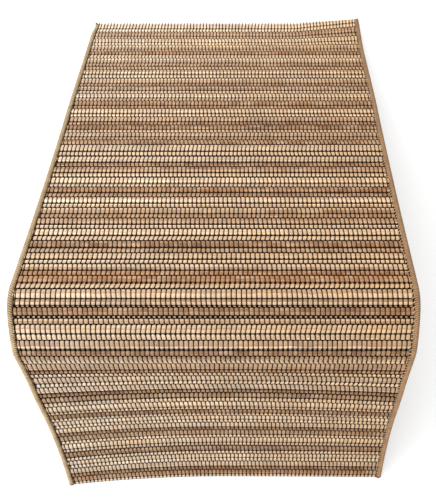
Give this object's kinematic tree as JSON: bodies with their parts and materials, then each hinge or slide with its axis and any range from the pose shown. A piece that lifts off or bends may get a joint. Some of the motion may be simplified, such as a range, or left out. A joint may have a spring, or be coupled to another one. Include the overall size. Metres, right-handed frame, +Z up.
{
  "type": "straw mat",
  "caption": "Woven straw mat with striped rows and a sewn binding on each long edge, standing bent over a ridge on its two cut ends.",
  "frame": {"origin": "on the floor under the middle of the bounding box", "axes": "+X along the straw rows, to the right of the front panel; +Y towards the far cut end of the long panel; +Z up"},
  "size_m": [0.4524, 0.745, 0.2831],
  "materials": {
    "straw": "satin straw in cream, tan, brown and rust rows",
    "binding_olive": "matt overcast thread",
    "binding_tan": "matt sewn tape"
  },
  "bodies": {
    "root": {"mat": "straw", "binding_left": "binding_olive", "binding_right": "binding_tan"}
  },
  "joints": []
}
